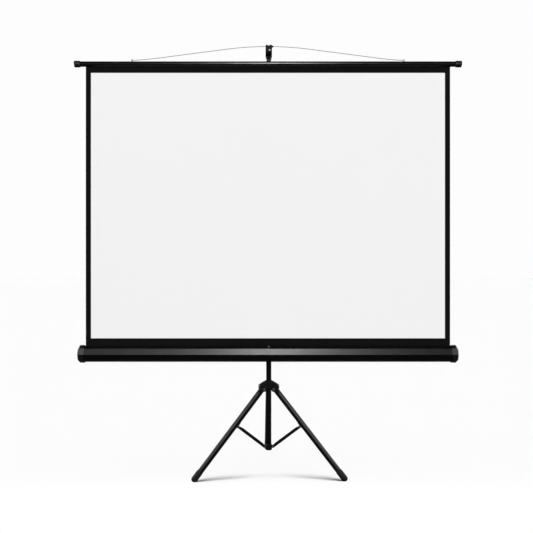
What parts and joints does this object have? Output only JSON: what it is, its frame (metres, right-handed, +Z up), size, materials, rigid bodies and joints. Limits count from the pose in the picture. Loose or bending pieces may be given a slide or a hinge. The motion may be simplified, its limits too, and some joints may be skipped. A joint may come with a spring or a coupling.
{
  "type": "tripod projection screen",
  "caption": "Free-standing roller projection screen: white sheet with black borders drawn from an eight-sided case up to a hook on a telescopic pole with a folding tripod.",
  "frame": {"origin": "centre of the footprint on the floor", "axes": "+Z up, the picture faces -Y, +X to the viewer's right"},
  "size_m": [1.868, 0.6398, 2.0654],
  "materials": {
    "black_paint": "satin black powder coat",
    "black_plastic": "moulded, fine grain",
    "foot_rubber": "matte",
    "steel": "zinc plated",
    "roller_zinc": "galvanised",
    "nylon": "natural",
    "white_sheet": "matte white viewing surface",
    "black_sheet": "matte black masking"
  },
  "bodies": {
    "pole": {"pole_tube": "black_paint", "pole_end_plug": "black_plastic", "lower_collar": "black_plastic", "collar_pins": "steel", "pole_top_collar": "black_plastic", "screen_panel": "white_sheet", "screen_border": "black_sheet"},
    "extension": {"extension_tube": "black_paint", "extension_bush": "black_plastic", "hook_head": "black_plastic", "hook_rivet": "steel", "top_bar": "black_paint", "bar_cap_left": "black_plastic", "bar_cap_right": "black_plastic", "bar_spline": "steel", "wire_bail": "steel", "wire_anchors": "steel"},
    "extension_knob": {"extension_knob": "black_plastic"},
    "hub": {"hub": "black_plastic", "hub_rivets": "steel"},
    "slider": {"slider_sleeve": "black_plastic", "carry_handle": "black_plastic", "swivel_washer": "nylon"},
    "slider_knob": {"slider_knob": "black_plastic"},
    "case": {"swivel_plate": "black_paint", "swivel_pin": "steel", "plate_screws": "steel", "case_shell": "black_paint", "end_cap_left": "black_plastic", "end_cap_right": "black_plastic", "end_cap_screws": "steel", "case_catch": "steel", "roller_axle_left": "steel", "roller_axle_right": "steel", "roller_spring": "steel"},
    "roller": {"roller_tube": "roller_zinc", "roller_plug_left": "black_plastic", "roller_plug_right": "black_plastic", "fabric_roll": "black_sheet"},
    "brace_left": {"brace_left": "black_paint"},
    "leg_left": {"leg_left": "black_paint", "leg_fitting_left": "black_plastic", "leg_pins_left": "steel", "foot_left": "foot_rubber", "brace_lug_left": "black_plastic"},
    "brace_right": {"brace_right": "black_paint"},
    "leg_right": {"leg_right": "black_paint", "leg_fitting_right": "black_plastic", "leg_pins_right": "steel", "foot_right": "foot_rubber", "brace_lug_right": "black_plastic"},
    "brace_rear": {"brace_rear": "black_paint"},
    "leg_rear": {"leg_rear": "black_paint", "leg_fitting_rear": "black_plastic", "leg_pins_rear": "steel", "foot_rear": "foot_rubber", "brace_lug_rear": "black_plastic"}
  },
  "joints": [
    {"name": "hub_slide", "type": "slide", "parent": "pole", "child": "hub", "axis": [0, 0, 1], "range_m": [0, 0.10683]},
    {"name": "extension_slide", "type": "slide", "parent": "pole", "child": "extension", "axis": [0, 0, 1], "range_m": [-0.6, 0], "deforming": ["screen_panel", "screen_border"]},
    {"name": "extension_knob_turn", "type": "hinge", "parent": "pole", "child": "extension_knob", "pos_m": [0.004, -0.09744, 1.165], "axis": [0, 1, 0], "range_deg": [0, 540]},
    {"name": "case_slide", "type": "slide", "parent": "pole", "child": "slider", "axis": [0, 0, 1], "range_m": [0, 0.4], "deforming": ["screen_panel", "screen_border"]},
    {"name": "slider_knob_turn", "type": "hinge", "parent": "slider", "child": "slider_knob", "pos_m": [0.004, -0.09744, 0.64], "axis": [1, 0, 0], "range_deg": [0, 540]},
    {"name": "case_swivel", "type": "hinge", "parent": "slider", "child": "case", "pos_m": [0.004, -0.09744, 0.5766], "axis": [0, 1, 0], "range_deg": [-2, 2]},
    {"name": "roller_spin", "type": "hinge", "parent": "case", "child": "roller", "pos_m": [0, -0.16744, 0.5766], "axis": [1, 0, 0], "range_deg": [-1740, 0]},
    {"name": "brace_fold_left", "type": "hinge", "parent": "pole", "child": "brace_left", "pos_m": [-0.01829, -0.11083, 0.116], "axis": [0.515, -0.8572, 0], "range_deg": [-36.2, 0]},
    {"name": "leg_fold_left", "type": "hinge", "parent": "brace_left", "child": "leg_left", "pos_m": [-0.14252, -0.18547, 0.22793], "axis": [0.515, -0.8572, 0], "range_deg": [0, 63.6]},
    {"name": "brace_fold_right", "type": "hinge", "parent": "pole", "child": "brace_right", "pos_m": [0.02674, -0.11004, 0.116], "axis": [0.4848, 0.8746, 0], "range_deg": [-36.2, 0]},
    {"name": "leg_fold_right", "type": "hinge", "parent": "brace_right", "child": "leg_right", "pos_m": [0.1535, -0.18031, 0.22793], "axis": [0.4848, 0.8746, 0], "range_deg": [0, 63.6]},
    {"name": "brace_fold_rear", "type": "hinge", "parent": "pole", "child": "brace_rear", "pos_m": [0.00355, -0.07144, 0.116], "axis": [-0.9998, -0.0175, 0], "range_deg": [-36.2, 0]},
    {"name": "leg_fold_rear", "type": "hinge", "parent": "brace_rear", "child": "leg_rear", "pos_m": [0.00102, 0.07347, 0.22793], "axis": [-0.9998, -0.0175, 0], "range_deg": [0, 63.6]}
  ],
  "couplings": [
    {"joint": "roller_spin", "follows": "extension_slide", "rad_per_m": 50.5},
    {"joint": "brace_fold_left", "follows": "hub_slide", "rad_per_m": -5.9023},
    {"joint": "leg_fold_left", "follows": "hub_slide", "rad_per_m": 10.379},
    {"joint": "brace_fold_right", "follows": "hub_slide", "rad_per_m": -5.9023},
    {"joint": "leg_fold_right", "follows": "hub_slide", "rad_per_m": 10.379},
    {"joint": "brace_fold_rear", "follows": "hub_slide", "rad_per_m": -5.9023},
    {"joint": "leg_fold_rear", "follows": "hub_slide", "rad_per_m": 10.379}
  ]
}
